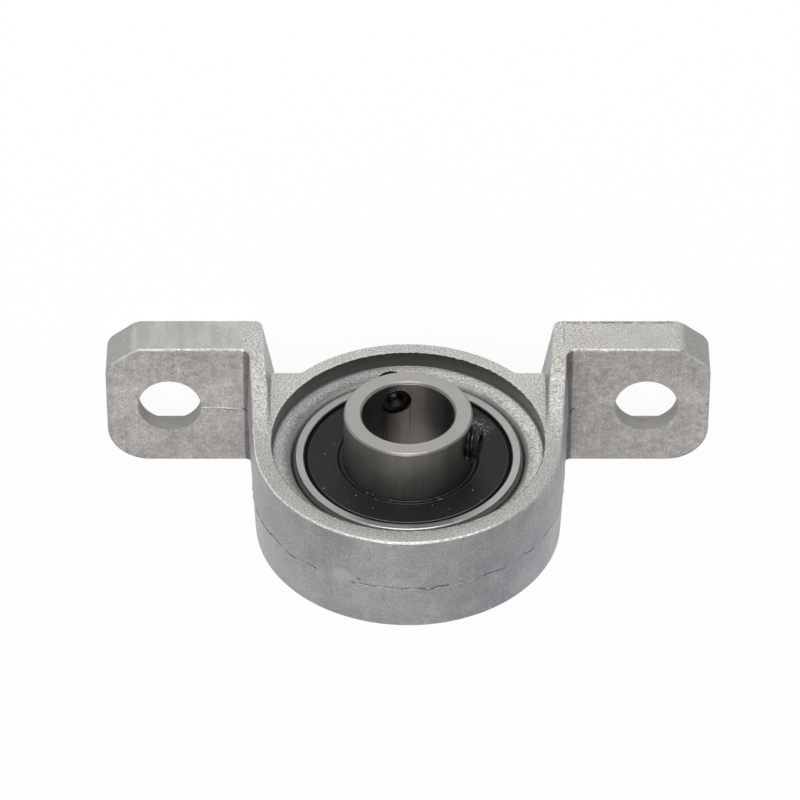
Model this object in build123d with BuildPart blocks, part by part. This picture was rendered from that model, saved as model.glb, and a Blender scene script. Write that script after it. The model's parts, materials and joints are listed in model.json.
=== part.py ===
from build123d import *
import os
from math import acos, atan2, cos, hypot, radians, sin, sqrt, tan

os.makedirs("parts", exist_ok=True)

# Miniature pillow block bearing: a die-cast housing with two bolted feet, and
# a self-aligning ball bearing insert whose collar is locked to the shaft by
# two set screws.
#
# The origin is the bearing's centre, where the shaft axis crosses the housing's
# parting plane. +Z is up, the feet stand SHAFT_HEIGHT below the origin and run
# along X, and the shaft axis runs along Y. The collar end of the insert faces
# -Y, the front.

# ---------------------------------------------------------------- housing, mm
SHAFT_HEIGHT = 18.0  # base plane to shaft axis
OVERALL_LENGTH = 67.0  # end to end of the feet
BOLT_FROM_END = 7.0  # bolt's centre to the end of a foot
BOLT_HOLE_D = 7.0  # clears an M6 bolt
FOOT_WIDTH = 16.0
FOOT_THICKNESS = 5.0  # at the side faces, draft adds a little at the middle
FOOT_CORNER_R = 4.6  # rear corners
FOOT_CUT_LENGTH = 3.4  # front corners are cut off, this far along the foot
FOOT_CUT_WIDTH = 2.6  # and this far across it
FOOT_CUT_R = 2.2  # rounding at both ends of the cut
FOOT_DRAFT = 1.0  # degrees, on the top face of a foot
FOOT_FILLET = 0.9  # foot to leg
FOOT_PLATE = 1.9  # left over the hollow in the underside of a foot
CORE_WALL = 2.2  # left round that hollow
CORE_DRAFT = 2.0  # degrees

RING_WIDTH = 12.0
RING_WALL = 2.1  # on the parting plane, over the arch
RING_LOWER_WALL = 1.75  # the same, between the legs
CAST_DRAFT = 2.5  # degrees, both ways from the parting plane
RIM_STEP = 1.87  # spherical seat to the bore of the rim
SHOULDER_STANDOFF = 0.1  # shoulder's outer edge, beyond the face of the insert
SHOULDER_FALL = 0.35  # how far the shoulder falls from the rim to its edge
SHOULDER_ROOT_R = 0.3
SHOULDER_EDGE_R = 0.75
SEAT_LIP = 0.33  # how far the shoulder closes in over the seat
SEAT_CLEARANCE = 0.03
SLOT_CLEARANCE = 0.1  # loading slots, each side of the insert

LEG_SPLAY = 1.2  # outer leg faces at the base, beyond the ring
LEG_THICKNESS = 3.5  # at the base, on the parting plane
LEG_INNER_LEAN = 3.0  # degrees, inner faces lean together upwards
LEG_INNER_DRAFT = 10.5  # degrees
LEG_TOE_R = 1.0  # inner bottom edge of a leg
LEG_FACE_RISE = 1.9  # top of a foot to where the leg faces start to lean in
LEG_FACE_DROP = 1.5  # shaft axis to where they run into the rim
LEG_FACE_BLEND_R = 20.0
WEB_EDGE_DROP = 11.4  # shaft axis to the lower edge of the webs between ring and legs
WEB_FILLET = 0.7
CAST_EDGE_R = 0.25  # rounding left on the outer cast edges

# ----------------------------------------------------------------- insert, mm
INNER_WIDTH = 14.0  # whole length of the inner ring
SHAFT_D = 10.0
COLLAR_WALL = 2.0
BORE_CHAMFER = 0.25
COLLAR_CHAMFER = 0.2
PITCH_D = 18.0  # circle through the balls' centres
OUTER_SECTION = 4.0  # that circle to the spherical outside of the outer ring
BALL_D = 4.7625
BALL_COUNT = 7
GROOVE_RATIO = 0.52  # raceway groove radius to ball diameter
GROOVE_DEPTH = 0.77
OUTER_RING_CHAMFER = 0.22  # where its faces meet the spherical outside
RACE_CLEARANCE = 0.02

SEAL_RECESS = 0.3  # face of the outer ring to the face of a seal
SEAL_THICKNESS = 0.75
SEAL_MOUTH_STEP = 0.72  # outer ring's land to the mouth round a seal
SEAL_MOUTH_CHAMFER = 0.15
SEAL_BEAD = 0.25  # how far the bead reaches out behind the mouth
SEAL_BEAD_WIDTH = 0.5
SEAL_BEVEL = 0.45  # outer edge of a seal's face, in from the mouth
SEAL_LIP = 0.75  # inner edge of a seal's face, out from the collar
SEAL_LIP_STEP = 0.25
SEAL_CLEARANCE = 0.03
WASHER_THICKNESS = 0.25  # steel washer in a seal
WASHER_INNER_MARGIN = 1.3  # to the collar
WASHER_OUTER_MARGIN = 0.35  # to the mouth
LAND_SETBACK = 0.25  # inner ring's land ends this far short of a seal

CAGE_THICKNESS = 0.4
CAGE_WIDTH = 2.2
CAGE_CLEARANCE = 0.06
CAGE_SIDE_GAP = 0.11  # to each seal
RIVET_D = 1.0
RIVET_HEAD_D = 1.7
RIVET_HEAD_HEIGHT = 0.35
RIVET_CLEARANCE = 0.02

SCREW_D = 4.0  # thread's outside diameter
SCREW_LENGTH = 3.0
SCREW_CLEARANCE = 0.05
SCREW_HEX = 2.0  # across the flats of the socket
SCREW_SOCKET_DEPTH = 1.4
SCREW_CHAMFER = 0.35
SCREW_CUP_D = 2.0
SCREW_CUP_DEPTH = 0.5
SCREW_CUP_TAPER = 45.0  # degrees
SCREW_FROM_END = 2.6  # collar end to the screws' axis
SCREW_ANGLES = (-75.0, 165.0)  # degrees from +X towards +Z
SCREW_RECESSES = (0.35, 0.05)  # shaft to each screw's inner end

# -------------------------------------------------------------------- derived
PARTING_PLANE = Plane.XZ
SHAFT_AXIS = Axis((0, 0, 0), (0, -1, 0))
PROFILE_PLANE = Plane(origin=(0, 0, 0), x_dir=(0, -1, 0), z_dir=(-1, 0, 0))
BASE_Z = -SHAFT_HEIGHT
BASE_PLANE = Plane.XY.offset(BASE_Z)
OVERRUN = 2.0  # how far cutting shapes run past what they cut

BALL_R = BALL_D / 2
PITCH_R = PITCH_D / 2
POCKET_R = BALL_R + CAGE_CLEARANCE
INSERT_R = PITCH_R + OUTER_SECTION
SEAL_INNER_FACE = POCKET_R + CAGE_THICKNESS + CAGE_SIDE_GAP
SEAL_OUTER_FACE = SEAL_INNER_FACE + SEAL_THICKNESS
INSERT_WIDTH = 2 * (SEAL_OUTER_FACE + SEAL_RECESS)
LAND_HALF_WIDTH = SEAL_INNER_FACE - LAND_SETBACK

SEAT_R = INSERT_R + SEAT_CLEARANCE
SEAT_EDGE_R = SEAT_R - SEAT_LIP
RIM_BORE_R = SEAT_R + RIM_STEP
RING_R = RIM_BORE_R + RING_WALL
RING_LOWER_R = RIM_BORE_R + RING_LOWER_WALL
FOOT_FLARE = FOOT_WIDTH / 2 * tan(radians(FOOT_DRAFT))
FOOT_TOP_Z = BASE_Z + FOOT_THICKNESS
WEB_EDGE_Z = -WEB_EDGE_DROP - RING_WIDTH / 2 * tan(radians(CAST_DRAFT))
LEG_OUTER_X = RING_R + LEG_SPLAY  # on the parting plane, at the base
LEG_INNER_X = LEG_OUTER_X - LEG_THICKNESS
LEG_MIDDLE_X = (LEG_INNER_X + LEG_OUTER_X) / 2
LEG_GAP_FLARE = FOOT_WIDTH / 2 * tan(radians(LEG_INNER_DRAFT))
CORE_START_X = LEG_INNER_X + LEG_GAP_FLARE + CORE_WALL
CORE_END_X = OVERALL_LENGTH / 2 - CORE_WALL
CORE_DEPTH = FOOT_THICKNESS - FOOT_PLATE
BOLT_SPACING = OVERALL_LENGTH - 2 * BOLT_FROM_END

SHAFT_R = SHAFT_D / 2
COLLAR_R = SHAFT_R + COLLAR_WALL
FRONT_REACH = INNER_WIDTH - INSERT_WIDTH / 2  # parting plane to the collar's end
THREAD_CORE_R = SCREW_D / 2 - SCREW_CHAMFER
GROOVE_R = GROOVE_RATIO * BALL_D
OUTER_RACE_R = PITCH_R + BALL_R + RACE_CLEARANCE
INNER_RACE_R = PITCH_R - BALL_R - RACE_CLEARANCE
OUTER_LAND_R = OUTER_RACE_R - GROOVE_DEPTH
INNER_LAND_R = INNER_RACE_R + GROOVE_DEPTH
SEAL_MOUTH_R = OUTER_LAND_R + SEAL_MOUTH_STEP
SEAL_GROOVE_R = SEAL_MOUTH_R + SEAL_BEAD
BALL_ANGLES = [90 + 360 * k / BALL_COUNT for k in range(BALL_COUNT)]
FIRST_RIVET_ANGLE = BALL_ANGLES[0] + 180 / BALL_COUNT


def save(part, name):
    """Label a finished piece and write its STEP file."""
    part.label = name
    export_step(part, f"parts/{name}.step")


def chord_half(radius, distance):
    """Half the chord of a circle at a distance from its centre."""
    return sqrt(radius**2 - distance**2)


def touch_point(radius, base_x):
    """Point where a line from the base, at base_x, touches a circle round the shaft axis."""
    distance = hypot(base_x, BASE_Z)
    angle = acos(radius / distance) + atan2(BASE_Z, base_x)
    return radius * cos(angle), radius * sin(angle)


def at_angle(radius, angle):
    """Point of the parting plane at a radius and an angle."""
    return (radius * cos(radians(angle)), 0, radius * sin(radians(angle)))


def screw_plane(angle, radius):
    """Plane across a set screw, facing out of the collar at a radius."""
    outward = Vector(*at_angle(1, angle))
    centre = outward * radius + Vector(0, SCREW_FROM_END - FRONT_REACH, 0)
    return Plane(origin=centre, x_dir=(0, 1, 0), z_dir=outward)


def runs_across(edge):
    """Tell whether an edge runs from side to side of the housing, by a leg."""
    size = edge.bounding_box().size
    by_leg = abs(edge.center().X) < OVERALL_LENGTH / 2 - FOOT_CORNER_R
    return by_leg and size.Y > RING_WIDTH / 3 and max(size.X, size.Z) < LEG_THICKNESS


def is_outline(edge):
    """Tell whether an edge is on the outline of the front or rear face."""
    centre = edge.center()
    on_face = abs(centre.Y) > RING_WIDTH / 2 - CAST_EDGE_R
    above_feet = centre.Z > FOOT_TOP_Z - CAST_EDGE_R
    step = edge.bounding_box().size.Z < CAST_EDGE_R and abs(centre.X) < LEG_OUTER_X
    outside = abs(centre.X) > LEG_MIDDLE_X - CAST_EDGE_R or centre.Z > RIM_BORE_R
    return on_face and above_feet and outside and not step


# ------------------------------------------------------------------- housing
# One casting, drafted both ways from the parting plane. First the space
# between its legs, whose walls lean together upwards.
with BuildPart() as leg_gap:
    for toward in (1, -1):
        for depth, flare in ((0, 0), (FOOT_WIDTH / 2, LEG_GAP_FLARE)):
            with BuildSketch(Plane.XZ.offset(toward * depth)):
                base_x = LEG_INNER_X + flare
                top_x = base_x - SHAFT_HEIGHT * tan(radians(LEG_INNER_LEAN))
                Polygon((-base_x, BASE_Z), (base_x, BASE_Z), (top_x, 0), (-top_x, 0), align=None)
        loft(ruled=True)

with BuildPart() as housing:
    # Arch over the ring with its two legs.
    with BuildSketch(PARTING_PLANE):
        with BuildLine():
            touch_x, touch_z = touch_point(RING_R, LEG_OUTER_X)
            Polyline(
                (-touch_x, touch_z), (-LEG_OUTER_X, BASE_Z), (LEG_OUTER_X, BASE_Z), (touch_x, touch_z)
            )
            ThreePointArc((touch_x, touch_z), (0, RING_R), (-touch_x, touch_z))
        make_face()
    extrude(amount=FOOT_WIDTH / 2, taper=CAST_DRAFT, both=True)
    # Feet, a little thicker at the parting plane than at their sides.
    with BuildSketch(PARTING_PLANE):
        with Locations((0, FOOT_TOP_Z + FOOT_FLARE)):
            Rectangle(
                OVERALL_LENGTH + 2 * OVERRUN,
                FOOT_THICKNESS + FOOT_FLARE + OVERRUN,
                align=(Align.CENTER, Align.MAX),
            )
    extrude(amount=FOOT_WIDTH / 2, taper=FOOT_DRAFT, both=True)
    add(leg_gap.part, mode=Mode.SUBTRACT)
    # Ring and the webs that join it to the legs.
    with BuildSketch(PARTING_PLANE):
        Circle(RING_LOWER_R)
        with Locations((0, WEB_EDGE_Z)):
            Rectangle(2 * LEG_MIDDLE_X, -WEB_EDGE_Z, align=(Align.CENTER, Align.MIN))
    extrude(amount=RING_WIDTH / 2, taper=CAST_DRAFT, both=True)
    # Side view: feet as wide as FOOT_WIDTH, narrowing up the legs to the ring.
    with BuildSketch(Plane.YZ):
        with BuildLine():
            side = FilletPolyline(
                (FOOT_WIDTH / 2, BASE_Z),
                (FOOT_WIDTH / 2, FOOT_TOP_Z + LEG_FACE_RISE),
                (RING_WIDTH / 2, -LEG_FACE_DROP),
                (RING_WIDTH / 2, RING_R + OVERRUN),
                radius=LEG_FACE_BLEND_R,
            )
            Polyline(side @ 1, (0, RING_R + OVERRUN), (0, BASE_Z), side @ 0)
        make_face()
        mirror(about=Plane.YZ)
    extrude(amount=OVERALL_LENGTH, both=True, mode=Mode.INTERSECT)
    # Plan view: the feet's front corners are cut off and their rear ones rounded.
    with BuildSketch(BASE_PLANE):
        with BuildLine():
            foot_end = OVERALL_LENGTH / 2
            plan = FilletPolyline(
                (0, -FOOT_WIDTH / 2),
                (foot_end - FOOT_CUT_LENGTH, -FOOT_WIDTH / 2),
                (foot_end, FOOT_CUT_WIDTH - FOOT_WIDTH / 2),
                (foot_end, FOOT_WIDTH / 2),
                (0, FOOT_WIDTH / 2),
                radius=[FOOT_CUT_R, FOOT_CUT_R, FOOT_CORNER_R],
            )
            mirror(plan, about=Plane.YZ)
        make_face()
    extrude(amount=SHAFT_HEIGHT + RING_R + OVERRUN, mode=Mode.INTERSECT)

    # Fillets at the feet and webs, and rounded toes inside the legs.
    across = housing.edges().filter_by(runs_across)
    toes = across.filter_by(lambda edge: edge.center().Z < BASE_Z + FOOT_THICKNESS / 2)
    roots = across - toes
    foot_roots = roots.filter_by(lambda edge: abs(edge.center().X) > LEG_MIDDLE_X)
    fillet(foot_roots, radius=FOOT_FILLET)
    web_roots = roots - foot_roots
    fillet(web_roots, radius=WEB_FILLET)
    fillet(toes, radius=LEG_TOE_R)

    # Inside of the ring: a counterbore behind each rim, a rounded shoulder and
    # the spherical seat between them.
    with BuildSketch(PROFILE_PLANE):
        with BuildLine():
            shoulder = INSERT_WIDTH / 2 + SHOULDER_STANDOFF
            seat_edge = chord_half(SEAT_R, SEAT_EDGE_R)
            land = shoulder - SHOULDER_FALL - seat_edge
            wall = FilletPolyline(
                (RING_WIDTH / 2 + OVERRUN, RIM_BORE_R),
                (shoulder, RIM_BORE_R),
                (shoulder - SHOULDER_FALL, SEAT_EDGE_R),
                (seat_edge, SEAT_EDGE_R),
                radius=[SHOULDER_ROOT_R, min(SHOULDER_EDGE_R, land)],
            )
            mirror(wall, about=Plane.YZ)
            ThreePointArc((seat_edge, SEAT_EDGE_R), (0, SEAT_R), (-seat_edge, SEAT_EDGE_R))
            Polyline(
                (RING_WIDTH / 2 + OVERRUN, RIM_BORE_R),
                (RING_WIDTH / 2 + OVERRUN, 0),
                (-RING_WIDTH / 2 - OVERRUN, 0),
                (-RING_WIDTH / 2 - OVERRUN, RIM_BORE_R),
            )
        make_face()
    revolve(axis=SHAFT_AXIS, mode=Mode.SUBTRACT)

    # Loading slots through the rear lip of the seat: the insert goes in
    # crosswise through them and is then turned into line.
    with BuildSketch(PARTING_PLANE):
        Circle(SEAT_R)
        Rectangle(2 * SEAT_R, INSERT_WIDTH + 2 * SLOT_CLEARANCE, mode=Mode.INTERSECT)
    extrude(amount=-RING_WIDTH / 2, mode=Mode.SUBTRACT)

    # Cored underside of each foot, and the bolt hole through what is left.
    for side in (-1, 1):
        for depth, inset in ((0, 0), (CORE_DEPTH, CORE_DEPTH * tan(radians(CORE_DRAFT)))):
            with BuildSketch(BASE_PLANE.offset(depth)):
                with Locations((side * (CORE_START_X + CORE_END_X) / 2, 0)):
                    RectangleRounded(
                        CORE_END_X - CORE_START_X - 2 * inset,
                        FOOT_WIDTH - 2 * (CORE_WALL + inset),
                        FOOT_CORNER_R - CORE_WALL - inset,
                    )
        loft(mode=Mode.SUBTRACT)
    with BuildSketch(BASE_PLANE):
        with GridLocations(BOLT_SPACING, 0, 2, 1):
            Circle(BOLT_HOLE_D / 2)
    extrude(amount=FOOT_THICKNESS + OVERRUN, mode=Mode.SUBTRACT)

    # Rounded edges along the outline of both faces.
    fillet(housing.edges().filter_by(is_outline), radius=CAST_EDGE_R)
save(housing.part, "housing")

# ------------------------------------------------------------ bearing insert
# Outer ring: spherical outside, one deep groove inside, and at each end a
# stepped mouth whose groove holds a seal.
with BuildPart() as outer_ring:
    with BuildSketch(PROFILE_PLANE):
        with BuildLine():
            half = INSERT_WIDTH / 2
            edge_half = half - OUTER_RING_CHAMFER
            edge_r = chord_half(INSERT_R, edge_half)
            groove_out = SEAL_INNER_FACE + SEAL_BEAD_WIDTH
            race_edge = chord_half(GROOVE_R, OUTER_LAND_R - OUTER_RACE_R + GROOVE_R)
            end = Polyline(
                (edge_half, edge_r),
                (half, edge_r - OUTER_RING_CHAMFER),
                (half, SEAL_MOUTH_R + SEAL_MOUTH_CHAMFER),
                (half - SEAL_MOUTH_CHAMFER, SEAL_MOUTH_R),
                (groove_out, SEAL_MOUTH_R),
                (groove_out, SEAL_GROOVE_R),
                (SEAL_INNER_FACE, SEAL_GROOVE_R),
                (SEAL_INNER_FACE, OUTER_LAND_R),
                (race_edge, OUTER_LAND_R),
            )
            mirror(end, about=Plane.YZ)
            ThreePointArc((race_edge, OUTER_LAND_R), (0, OUTER_RACE_R), (-race_edge, OUTER_LAND_R))
            ThreePointArc((edge_half, edge_r), (0, INSERT_R), (-edge_half, edge_r))
        make_face()
    revolve(axis=SHAFT_AXIS)
save(outer_ring.part, "outer_ring")

# Inner ring: one deep groove outside, drawn out at the front into the collar
# that the set screws pass through.
with BuildPart() as inner_ring:
    with BuildSketch(PROFILE_PLANE):
        with BuildLine():
            rear = -INSERT_WIDTH / 2
            race_edge = chord_half(GROOVE_R, INNER_RACE_R + GROOVE_R - INNER_LAND_R)
            Polyline(
                (race_edge, INNER_LAND_R),
                (LAND_HALF_WIDTH, INNER_LAND_R),
                (LAND_HALF_WIDTH, COLLAR_R),
                (FRONT_REACH - COLLAR_CHAMFER, COLLAR_R),
                (FRONT_REACH, COLLAR_R - COLLAR_CHAMFER),
                (FRONT_REACH, SHAFT_R + BORE_CHAMFER),
                (FRONT_REACH - BORE_CHAMFER, SHAFT_R),
                (rear + BORE_CHAMFER, SHAFT_R),
                (rear, SHAFT_R + BORE_CHAMFER),
                (rear, COLLAR_R - COLLAR_CHAMFER),
                (rear + COLLAR_CHAMFER, COLLAR_R),
                (-LAND_HALF_WIDTH, COLLAR_R),
                (-LAND_HALF_WIDTH, INNER_LAND_R),
                (-race_edge, INNER_LAND_R),
            )
            ThreePointArc((-race_edge, INNER_LAND_R), (0, INNER_RACE_R), (race_edge, INNER_LAND_R))
        make_face()
    revolve(axis=SHAFT_AXIS)
    # A screw's hole has room for its thread, but not where it breaks into the bore.
    for angle in SCREW_ANGLES:
        with BuildSketch(screw_plane(angle, 0)):
            Circle(THREAD_CORE_R)
        extrude(amount=SHAFT_R, mode=Mode.SUBTRACT)
        with BuildSketch(screw_plane(angle, SHAFT_R)):
            Circle(THREAD_CORE_R)
        extrude(amount=SCREW_CHAMFER, taper=-45, mode=Mode.SUBTRACT)
        with BuildSketch(screw_plane(angle, SHAFT_R + SCREW_CHAMFER)):
            Circle(SCREW_D / 2)
        extrude(amount=COLLAR_R + OVERRUN, mode=Mode.SUBTRACT)
save(inner_ring.part, "inner_ring")

# Set screws: cup point inwards, hexagon socket outwards.
for number, (angle, recess) in enumerate(zip(SCREW_ANGLES, SCREW_RECESSES), start=1):
    tip = SHAFT_R + recess
    with BuildPart() as set_screw:
        with BuildSketch(screw_plane(angle, tip)):
            Circle(SCREW_D / 2 - SCREW_CLEARANCE)
        extrude(amount=SCREW_LENGTH)
        chamfer(set_screw.edges().filter_by(GeomType.CIRCLE), length=SCREW_CHAMFER)
        with BuildSketch(screw_plane(angle, tip)):
            Circle(SCREW_CUP_D / 2)
        extrude(amount=SCREW_CUP_DEPTH, taper=SCREW_CUP_TAPER, mode=Mode.SUBTRACT)
        with BuildSketch(screw_plane(angle, tip + SCREW_LENGTH)):
            RegularPolygon(SCREW_HEX / 2, 6, major_radius=False)
        extrude(amount=-SCREW_SOCKET_DEPTH, mode=Mode.SUBTRACT)
    save(set_screw.part, f"set_screw_{number}")

# Balls.
for number, angle in enumerate(BALL_ANGLES, start=1):
    with BuildPart(Plane(origin=at_angle(PITCH_R, angle))) as ball:
        Sphere(BALL_R)
    save(ball.part, f"ball_{number}")

# Ribbon cage: two pressed halves, domed over the balls and flat between them,
# riveted together through the flats.
for name, toward in (("cage_front", 1), ("cage_back", -1)):
    with BuildPart() as cage:
        with Locations(*[at_angle(PITCH_R, a) for a in BALL_ANGLES]):
            Sphere(POCKET_R + CAGE_THICKNESS)
        for depth, mode in (
            (POCKET_R + 2 * CAGE_THICKNESS, Mode.INTERSECT),
            (CAGE_THICKNESS, Mode.ADD),
        ):
            with BuildSketch(PARTING_PLANE):
                Circle(PITCH_R + CAGE_WIDTH / 2)
                Circle(PITCH_R - CAGE_WIDTH / 2, mode=Mode.SUBTRACT)
            extrude(amount=toward * depth, mode=mode)
        with Locations(*[at_angle(PITCH_R, a) for a in BALL_ANGLES]):
            Sphere(POCKET_R, mode=Mode.SUBTRACT)
        with BuildSketch(PARTING_PLANE):
            with PolarLocations(PITCH_R, BALL_COUNT, start_angle=FIRST_RIVET_ANGLE):
                Circle(RIVET_D / 2 + RIVET_CLEARANCE)
        extrude(amount=toward * CAGE_THICKNESS, mode=Mode.SUBTRACT)
    save(cage.part, name)

with BuildPart() as cage_rivets:
    with BuildSketch(PARTING_PLANE.offset(-CAGE_THICKNESS)):
        with PolarLocations(PITCH_R, BALL_COUNT, start_angle=FIRST_RIVET_ANGLE):
            Circle(RIVET_D / 2)
    extrude(amount=2 * CAGE_THICKNESS)
    for toward in (1, -1):
        with BuildSketch(PARTING_PLANE.offset(toward * CAGE_THICKNESS)):
            with PolarLocations(PITCH_R, BALL_COUNT, start_angle=FIRST_RIVET_ANGLE):
                Circle(RIVET_HEAD_D / 2)
        extrude(amount=toward * RIVET_HEAD_HEIGHT)
save(cage_rivets.part, "cage_rivets")

# Seals: a rubber ring moulded on a steel washer, its bead snapped into the
# outer ring's groove and its lip running on the inner ring.
for end, toward in (("front", 1), ("back", -1)):
    inner_face = toward * SEAL_INNER_FACE
    washer_face = toward * (SEAL_INNER_FACE + WASHER_THICKNESS)
    bead_face = toward * (SEAL_INNER_FACE + SEAL_BEAD_WIDTH - SEAL_CLEARANCE)
    outer_face = toward * SEAL_OUTER_FACE
    step_face = toward * (SEAL_OUTER_FACE - SEAL_LIP_STEP)
    washer_inner = COLLAR_R + WASHER_INNER_MARGIN
    washer_outer = SEAL_MOUTH_R - WASHER_OUTER_MARGIN
    with BuildPart() as seal:
        with BuildSketch(PROFILE_PLANE):
            with BuildLine():
                Polyline(
                    (inner_face, washer_inner),
                    (inner_face, COLLAR_R + SEAL_LIP / 2),
                    (step_face, COLLAR_R + SEAL_CLEARANCE),
                    (step_face, COLLAR_R + SEAL_LIP - SEAL_LIP_STEP),
                    (outer_face, COLLAR_R + SEAL_LIP),
                    (outer_face, SEAL_MOUTH_R - SEAL_BEVEL),
                    (bead_face, SEAL_MOUTH_R - SEAL_CLEARANCE),
                    (bead_face, SEAL_GROOVE_R - SEAL_CLEARANCE),
                    (inner_face, SEAL_GROOVE_R - SEAL_CLEARANCE),
                    (inner_face, washer_outer),
                    (washer_face, washer_outer),
                    (washer_face, washer_inner),
                    close=True,
                )
            make_face()
        revolve(axis=SHAFT_AXIS)
    save(seal.part, f"seal_{end}")

    with BuildPart() as seal_core:
        with BuildSketch(PARTING_PLANE.offset(inner_face)):
            Circle(washer_outer)
            Circle(washer_inner, mode=Mode.SUBTRACT)
        extrude(amount=washer_face - inner_face)
    save(seal_core.part, f"seal_{end}_core")
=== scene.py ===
"""Dresses the miniature pillow block bearing and sets it in a plain studio.

Everything is in metres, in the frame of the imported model: the origin is the centre of
the bearing, +Z is up, the feet run along X and the collar faces -Y. Sizes are written
in millimetres and scaled by MM.
"""

import json
import logging
import math
from collections.abc import Callable
from dataclasses import dataclass
from enum import Enum
from functools import partial, reduce

import bpy
from mathutils import Matrix, Vector

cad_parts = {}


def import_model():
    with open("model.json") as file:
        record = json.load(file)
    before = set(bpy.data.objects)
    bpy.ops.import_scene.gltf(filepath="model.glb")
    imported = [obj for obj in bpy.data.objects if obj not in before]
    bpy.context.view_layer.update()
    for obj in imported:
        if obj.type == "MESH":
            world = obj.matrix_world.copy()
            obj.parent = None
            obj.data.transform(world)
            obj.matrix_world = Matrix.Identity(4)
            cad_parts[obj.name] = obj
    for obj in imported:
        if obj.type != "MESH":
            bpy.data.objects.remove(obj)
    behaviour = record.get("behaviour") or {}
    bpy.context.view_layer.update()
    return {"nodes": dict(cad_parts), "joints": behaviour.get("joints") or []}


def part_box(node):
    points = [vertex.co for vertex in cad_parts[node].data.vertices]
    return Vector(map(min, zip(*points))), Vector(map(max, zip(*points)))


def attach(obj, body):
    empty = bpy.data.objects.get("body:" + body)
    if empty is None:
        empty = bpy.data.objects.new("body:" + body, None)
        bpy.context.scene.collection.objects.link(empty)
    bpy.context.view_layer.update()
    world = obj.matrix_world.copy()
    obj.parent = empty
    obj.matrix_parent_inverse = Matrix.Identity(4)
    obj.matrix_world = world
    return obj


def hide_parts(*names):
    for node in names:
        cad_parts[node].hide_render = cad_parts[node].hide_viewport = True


LOG = logging.getLogger("pillow_block")

Colour = tuple[float, float, float]
Place = tuple[float, float, float]  # mm
Socket = bpy.types.NodeSocket
Piece = bpy.types.Object
Material = bpy.types.Material
Test = Callable[[Vector], bool]

MM = 0.001
MERGE = 0.001 * MM  # vertices nearer than this are one
ROUNDED = math.radians(32)  # edges that turn by more than this are rounded
SMOOTH = 50  # faces that meet at less than this are shaded smooth, degrees
PARTING = 0.4  # plane where the halves of the mould met, along Y, mm
GATE: Place = (7.1, -0.05, 15.4)  # where the metal was fed in


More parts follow.
